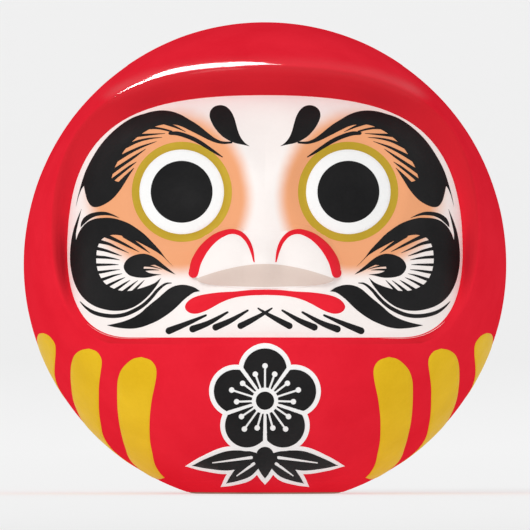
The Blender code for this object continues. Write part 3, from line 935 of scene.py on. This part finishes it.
CHEEK_TEETH = [
    ([(46.5, 9.8), (43.0, 7.3), (41.0, 5.9), (38.2, 3.9)], [1.9, 1.1, 0.8, 0.12]),
    ([(53.0, 9.7), (49.0, 7.95), (45.5, 6.2), (41.8, 4.3)], [1.4, 1.0, 0.75, 0.12]),
    ([(56.0, 7.9), (52.0, 6.95), (49.0, 5.6), (45.2, 3.9)], [1.4, 0.95, 0.65, 0.12]),
    ([(57.5, 5.7), (53.0, 4.75), (50.0, 3.75), (47.5, 2.9)], [1.3, 0.9, 0.6, 0.12]),
    ([(58.0, 2.7), (53.0, 2.4), (50.5, 2.05), (48.2, 1.6)], [1.2, 0.85, 0.55, 0.12]),
    ([(58.0, -0.1), (53.0, 0.0), (50.5, 0.05), (48.6, 0.0)], [1.1, 0.75, 0.5, 0.12]),
    ([(57.5, -2.9), (53.0, -2.25), (50.5, -1.85), (48.2, -1.6)], [1.2, 0.8, 0.5, 0.12]),
    ([(56.5, -5.8), (52.0, -4.25), (50.0, -3.55), (47.5, -2.95)], [1.3, 0.85, 0.6, 0.12]),
    ([(54.2, -8.1), (50.5, -6.1), (48.5, -5.1), (46.5, -4.2)], [1.3, 0.8, 0.55, 0.12]),
    ([(51.2, -9.4), (48.0, -7.2), (46.3, -6.05), (44.8, -5.1)], [1.3, 0.8, 0.55, 0.12]),
    ([(48.4, -10.2), (45.2, -7.55), (43.8, -6.4), (42.2, -5.2)], [1.3, 0.8, 0.5, 0.12]),
    ([(45.0, -10.3), (42.4, -7.4), (41.3, -6.3), (40.1, -5.1)], [1.4, 0.7, 0.45, 0.12]),
]
CHEEK_DROP = [
    [(29.7, -3.2), (31.5, -1.7), (33.5, -0.1), (35.5, 1.6), (37.5, 2.9), (39.5, 3.6), (41.5, 3.6),
     (43.5, 3.1), (45.2, 2.2), (46.4, 0.9), (46.9, -0.7), (46.3, -2.3), (45.0, -3.5), (43, -4.1),
     (40.5, -4.3), (38.5, -4.1), (36.5, -3.6)],
    [(34.4, -3.2), (36.5, -3.0), (38.6, -2.6), (40.2, -1.6), (40.1, -0.6), (38.5, -0.2)],
    [(36.6, 0.0), (34.5, -1.0), (33, -1.8), (31.3, -2.6)],
]
CHEEK_DROP_TEETH = [
    ([(40.5, -0.1), (37.5, -0.55), (34.2, -1.45)], [0.9, 0.5, 0.12]),
    ([(41.5, -1.7), (38.0, -1.6), (35.2, -1.75)], [0.9, 0.55, 0.12]),
]
CHEEK_ARC = [
    [(61.2, 12.3), (61.0, 13.9), (60, 15.6), (58, 16.9), (55.5, 17.5), (53, 17.5), (51, 16.9),
     (49.5, 16.2)],
    [(48.1, 15.4), (49.6, 15.85), (51.5, 16.3), (53.5, 16.4), (56, 16.1), (58, 15.2), (59.7, 13.8)],
]
UNDER_LINE = ([(61.4, -12.3), (59.6, -14.1), (57, -15.8), (53.5, -16.8), (50, -17.05), (46.8, -16.6),
               (43.6, -15.3), (40.6, -13.5), (38, -11.1), (35.8, -8.5), (34.0, -6.9), (32.6, -6.15),
               (31.0, -6.0)],
              [0.2, 0.7, 1.15, 1.3, 1.3, 1.3, 1.3, 1.2, 1.1, 1.0, 0.8, 0.6, 0.2])
MOUSTACHE = [
    [(52.5, -20.1), (50, -19.6), (47, -18.8), (44, -17.6), (41.5, -16.1), (39.5, -14.3), (37.5, -12.6),
     (35.6, -11.1), (33.8, -9.5), (32, -8.0), (30, -7.0), (27.8, -6.6), (25.5, -6.8), (23.5, -7.6)],
    [(21.6, -8.7), (23.5, -9.1), (25, -10.0), (27, -11.6), (29, -13.6), (31, -15.4), (33.5, -17.2),
     (36, -18.7), (38.5, -19.8), (41, -20.7), (44, -21.2), (47, -21.1), (50, -20.7)],
]
CHIN_STROKES = [
    ([(31.9, -21.9), (26.5, -19.7), (19.6, -16.7)], [2.3, 1.7, 0.7]),
    ([(24.0, -21.3), (18.8, -19.3), (12.4, -15.7)], [2.3, 1.7, 0.7]),
    ([(16.4, -20.7), (11.3, -18.4), (5.7, -15.1)], [2.2, 1.65, 0.65]),
    ([(8.1, -20.2), (4.2, -18.2), (0.0, -15.9), (-2.3, -14.4)], [2.1, 1.7, 1.05, 0.5]),
]
MOUTH = [
    (0, -8.2), (5, -8.3), (10, -8.8), (15, -9.1), (19, -9.6), (22, -10.2), (24.5, -11.2), (26, -12.5),
    (26.6, -13.8), (26.2, -15.0), (25, -15.9), (23.3, -16.2), (21.5, -15.9), (19, -14.9), (17, -13.8),
    (15, -12.7), (12, -11.4), (9, -10.6), (5, -10.1), (0, -9.9),
]
NOSE_ARC = ([(23.8, -2.7), (22.7, 1.3), (20.0, 5.7), (16.4, 9.1), (12.9, 10.8), (10.4, 11.1),
             (7.8, 10.2), (5.7, 7.9), (4.4, 4.8), (3.6, 1.1)],
            [3.2, 3.35, 3.0, 2.4, 1.85, 1.6, 1.5, 1.35, 1.1, 0.4])
NOSE_SHADE = ([(25.2, -2.4), (24.2, 1.9), (21.2, 6.9), (17.2, 10.6), (13.3, 12.3), (10.2, 12.6),
               (7.6, 11.6)],
              [1.6, 2.4, 2.6, 2.4, 2.0, 1.8, 1.0])
UNDERSIDE_X = 22.6       # half width of the nose's underside at its upper edge
UNDERSIDE_LOW = [(22.7, -5.1), (21.4, -5.8), (18.2, -6.5), (12, -7.0), (0, -7.3)]


def make_eyes():
    for name, radius, material, slot, lift in (
        ("eye_ring", RING_R, RING_GOLD, "gold_paint", 0.10),
        ("eye_white", WHITE_R, WHITE, "white_paint", 0.20),
        ("pupil", PUPIL_R, BLACK, "ink_black", 0.32),
    ):
        both_sides(name, [circle(*EYE, radius)], material, slot, lift=lift)


def mirror_loop(half):
    """A closed outline from its right half, which starts and ends on the middle line."""
    left = half[::-1] * np.array([-1.0, 1.0])
    return np.vstack([half, left[1:-1]])


def brushed(strokes):
    return [brush(*stroke) for stroke in strokes]


def make_face_paint():
    for name, loops, lift in (
        ("brow", [outline(*BROW), outline(*DROP)] + brushed(BROW_TEETH), PAINT_T),
        ("lash", [brush(*LASH)], PAINT_T + 0.02),
        ("beard_swirl", [outline(*CHEEK_SWIRL)] + brushed(CHEEK_TEETH), PAINT_T),
        ("beard_drop", [outline(*CHEEK_DROP)] + brushed(CHEEK_DROP_TEETH), PAINT_T),
        ("beard_arc", [outline(*CHEEK_ARC)], PAINT_T),
        ("beard_line", [brush(*UNDER_LINE)], PAINT_T),
        ("moustache", [outline(*MOUSTACHE)], PAINT_T),
    ):
        both_sides(name, loops, BLACK, "ink_black", lift=lift)
    strokes = brushed(CHIN_STROKES)
    paint("chin_strokes", strokes + mirrored(strokes), BLACK, "ink_black")
    paint("mouth", [mirror_loop(spline(MOUTH))], RED_LINE, "red_lacquer")
    both_sides("nose_shade", [brush(*NOSE_SHADE)], FACE, "skin_peach", spacing=0.6, lift=0.07)
    both_sides("nose_arc", [brush(*NOSE_ARC)], RED_LINE, "red_lacquer", spacing=0.6, lift=0.2)
    # painted shadow under the nose: a beige coat over the nose's underside
    top = np.linspace(0.0, UNDERSIDE_X, 40)
    upper = np.column_stack([top, underside_top(top)])
    half = np.vstack([upper, spline([upper[-1], *UNDERSIDE_LOW])[1:]])
    paint("nose_underside_shadow", [mirror_loop(half)], NOSE_SHADOW_BEIGE, "face_white", lift=0.08, spacing=0.9)


# ---- paint on the body

STRIPES = [
    [[(33.7, -30.5), (31.1, -31.6), (30.0, -33.8), (30.3, -36.5), (31.7, -40), (33.9, -44), (37, -49),
      (40.5, -54), (43.9, -58), (49.2, -63), (57, -67.5)],
     [(64, -70.9), (76, -71.4)],
     [(88, -70.9), (76, -66.0), (64.5, -61.5), (57.8, -57), (52.9, -52), (49.1, -47), (46.4, -43),
      (43.7, -38.5), (41.1, -35), (38.5, -32.6), (36.2, -31.1)]],
    [[(50.2, -27.8), (47.7, -28.8), (46.6, -31), (47.2, -33.3), (49.3, -36.5), (52.1, -40), (56.3, -45),
      (61.6, -50), (67, -54), (76, -58.5), (85, -62.5), (94, -67)],
     [(102, -70.9), (114, -71.4)],
     [(126, -70.9), (116, -67), (106, -62.5), (96, -58), (87, -53.5), (79, -49), (73.5, -45), (68.5, -41),
      (64.3, -37), (60.3, -33), (56.6, -30), (53.3, -28.4)]],
    [[(70.8, -22.9), (66.8, -23.7), (65.0, -25.6), (65.3, -27.5), (68, -30.5), (73, -34), (80, -37.8),
      (88, -42), (97, -47.5), (106, -53.5), (116, -60), (126, -66)],
     [(136, -70.9), (147, -71.4)],
     [(158, -70.9), (146, -65), (134, -59), (122, -52.5), (112, -46), (103, -39.5), (95, -33.5),
      (88, -28.4), (81.5, -24.9), (76, -23.3)]],
]


def make_stripes():
    scale = np.array([FLANK_SCALE, 1.0])
    for number, runs in enumerate(STRIPES, 1):
        flat = [np.array(run) * scale for run in runs]
        both_sides(
            f"gold_stripe_{number}", [outline(*flat, spacing=0.6)], GOLD, "gold_paint",
            place=on_flank, lift=0.22, spacing=1.6,
        )


BLOSSOM = (0.0, -45.0)
HUB = (0.0, -63.2)       # where the leaves meet
PETAL_R = 7.6
PETAL_OFF = 10.2
HALO = 1.25
# Leaves on the right: turn, length, width and how far the vein reaches
LEAVES = ((-8, 24.5, 6.6, 17.5), (-36, 16.0, 5.6, 11.5), (-90, 7.8, 4.6, None))


def away(start, turn, distance):
    """A point at a turn, in degrees from straight right, and a distance from the start."""
    angle = math.radians(turn)
    return (start[0] + distance * math.cos(angle), start[1] + distance * math.sin(angle))


def ray_from(start, turn, near, far, near_width, far_width):
    return brush([away(start, turn, near), away(start, turn, far)], [near_width, far_width])


def petals(radius):
    """Five petals round the blossom's middle."""
    return [circle(*away(BLOSSOM, 90 + 72 * k, PETAL_OFF), radius) for k in range(5)]


def leaf(x, z, turn, length, width):
    """A pointed leaf from its stalk end, turned from straight right."""
    c, s = math.cos(math.radians(turn)), math.sin(math.radians(turn))
    half = np.array([(0, 0), (0.2, 0.34), (0.5, 0.5), (0.8, 0.26), (1, 0)]) * (length, width)
    loop = np.vstack([spline(half)[:-1], spline(half[::-1] * (1, -1))[:-1]])
    return np.column_stack([x + c * loop[:, 0] - s * loop[:, 1], z + s * loop[:, 0] + c * loop[:, 1]])


def make_emblem():
    """A plain plum blossom over five leaves, in black with a white edge."""
    halo = petals(PETAL_R + HALO) + [circle(*BLOSSOM, 8.0), circle(*HUB, 4.6)]
    leaves, veins = [circle(*HUB, 3.0)], []
    for turn, length, width, vein in LEAVES:
        grown = leaf(*away(HUB, turn, -0.8), turn, length + 3.0, width + 2 * HALO)
        plain = leaf(*HUB, turn, length, width)
        halo += [grown] + mirrored([grown])
        leaves += [plain] + mirrored([plain])
        if vein:
            veins.append(ray_from(HUB, turn, 4.5, vein, 0.9, 0.25))
    on_body = {"place": ON_FRONT, "lift": 0.44}
    paint("emblem_edge", halo, WHITE, "white_paint", place=ON_FRONT, lift=0.30)
    leaf_cuts = petals(PETAL_R + 0.8) + veins + mirrored(veins)
    paint("emblem_leaves", leaves, BLACK, "ink_black", cuts=leaf_cuts, **on_body)
    cuts = [circle(*BLOSSOM, 4.3)]
    for petal in range(90, 90 + 360, 72):
        cuts.append(ray_from(BLOSSOM, petal + 36, 3.0, 15.0, 0.7, 1.3))
        for turn, tip in ((petal - 20, 9.4), (petal, 11.6), (petal + 20, 9.4)):
            cuts.append(ray_from(BLOSSOM, turn, 3.5, tip, 0.5, 0.5))
            cuts.append(circle(*away(BLOSSOM, turn, tip), 0.85, 0.3))
    paint("emblem", petals(PETAL_R - 0.3), BLACK, "ink_black", cuts=cuts, **on_body)
    paint("emblem_heart", [circle(*BLOSSOM, 3.1)], BLACK, "ink_black", **on_body)


# ---- room

FLOOR_TONE = 0.42
WALL_TONE = 0.34
STAGE_GLOW = 0.55
SKIRT_GLOW = 0.87
FLOOR_R = 2200.0
WALL_BEND = 1000.0
SKIRT_DROP = 400.0


def glowing_material(name, glow, colour=None):
    """Matt stage paint that shines evenly by itself, black unless a colour is given."""
    material, tree, shader = new_material(name)
    feed(tree, shader, {
        "Base Color": colour(tree) if colour else (0.0, 0.0, 0.0),
        "Roughness": 0.9,
        "Specular IOR Level": 0.0,
        "Emission Color": (1.0, 1.0, 1.0),
        "Emission Strength": glow,
    })
    return material


def stage_tone(tree):
    """The floor's tone, passing into the backdrop's as it rises."""
    apart = tree.nodes.new("ShaderNodeSeparateXYZ")
    feed(tree, apart, {"Vector": object_place(tree)})
    risen = ranged(tree, apart.outputs["Z"], 0.0, 1.0, 0.0, 0.03)
    return mixed(tree, risen, (FLOOR_TONE,) * 3, (WALL_TONE,) * 3)


def make_room():
    """A round pale floor that curves up into a low backdrop all round, with a skirt below its level."""
    stage = turned_rings([(0.0, 0.0), (FLOOR_R, 0.0)] + [
        (FLOOR_R + WALL_BEND * math.sin(turn), WALL_BEND * (1.0 - math.cos(turn)))
        for turn in np.radians(np.arange(5.0, 81.0, 5.0))
    ])
    skirt = turned_rings([(FLOOR_R, -1.0), (FLOOR_R, -SKIRT_DROP)])
    points = np.vstack(stage + skirt)
    faces = ring_faces(stage)
    skirt_from = len(faces)
    below = len(points) - 2 * SIDES
    faces += [tuple(v + below for v in face) for face in ring_faces(skirt)]
    mesh = raw_mesh("backdrop", points, faces)
    mesh.shade_smooth()
    mesh.polygons.foreach_set("material_index", (np.arange(len(faces)) >= skirt_from).astype(np.int32))
    mesh.materials.append(glowing_material("backdrop_paper", STAGE_GLOW, stage_tone))
    mesh.materials.append(glowing_material("backdrop_skirt", SKIRT_GLOW))
    backdrop = link_object("backdrop", mesh)


def add_light(name, kind, place, strength, along=(1.0, 0.0, 0.0)):
    """A lamp that faces the doll's middle, with its long side along a direction."""
    light = bpy.data.lights.new(name, kind)
    light.energy = strength
    lamp = link_object(name, light)
    lamp.location = place
    back = (Vector(place) - Vector(CENTRE * MM)).normalized()
    side = (Vector(along) - back * back.dot(Vector(along))).normalized()
    lamp.rotation_euler = Matrix((side, back.cross(side), back)).transposed().to_euler()
    return lamp


def make_lights(lacquered):
    """Soft light from the upper left, and a panel whose gloss shows only on the hood's polished crest."""
    key = add_light("key", 'SUN', (-0.8, -1.5, 0.85), 0.95)
    key.data.angle = math.radians(28.0)
    fill_in = add_light("fill", 'SUN', (1.2, -1.5, 0.35), 0.12)
    fill_in.data.angle = math.radians(50.0)
    panel = add_light("crest_panel", 'AREA', (-0.33, 0.03, 0.92), 90.0, along=(-0.57, 0.86, -0.25))
    panel.data.shape = 'RECTANGLE'
    panel.data.size, panel.data.size_y = 0.95, 0.5
    panel.visible_diffuse = False
    receivers = bpy.data.collections.new("crest_panel_receivers")
    receivers.objects.link(lacquered)
    panel.light_linking.receiver_collection = receivers
    world = bpy.data.worlds.new("studio")
    world.use_nodes = True
    tree = world.node_tree
    feed(tree, tree.nodes["Background"], {"Color": (1.0, 1.0, 1.0), "Strength": 0.665})
    bpy.context.scene.world = world


VIEW_MM = 175.95         # width and height of the view
LOOK_Z = -0.45           # how far the view's middle is above the ball's centre
TILT = 0.35              # degrees that the camera looks down, enough to see the floor
DISTANCE = 2.15          # metres


def make_camera():
    """A camera without perspective, straight in front of the doll."""
    camera = bpy.data.cameras.new("camera")
    camera.type = 'ORTHO'
    camera.ortho_scale = VIEW_MM * MM
    camera.clip_start, camera.clip_end = 0.01, 20.0
    eye = link_object("camera", camera)
    tilt = math.radians(TILT)
    back = Vector((0.0, -math.cos(tilt), math.sin(tilt)))
    eye.location = Vector((0.0, 0.0, (CENTRE_Z + LOOK_Z) * MM)) + back * DISTANCE
    eye.rotation_euler = (math.pi / 2 - tilt, 0.0, 0.0)
    bpy.context.scene.camera = eye


make_camera()
make_room()
make_face()
make_lights(make_red_front())
make_red_back()
base_edge = 180.0 - math.degrees(math.asin((BASE_STRIP_OUT + GAP) / BALL_R))
make_seam_strip("seam_paper_left", "seam_strip_left", -base_edge - 0.4, -CROWN_SPAN + 1.2)
make_seam_strip("seam_paper_right", "seam_strip_right", CROWN_SPAN - 1.2, base_edge + 0.4)
make_seam_strip("seam_paper_crown", "seam_strip_crown", -CROWN_SPAN - 0.4, CROWN_SPAN + 0.4, proud=0.19)
make_foot()
make_nose()
make_eyes()
make_face_paint()
make_stripes()
make_emblem()

bpy.context.scene.view_settings.view_transform = 'Standard'
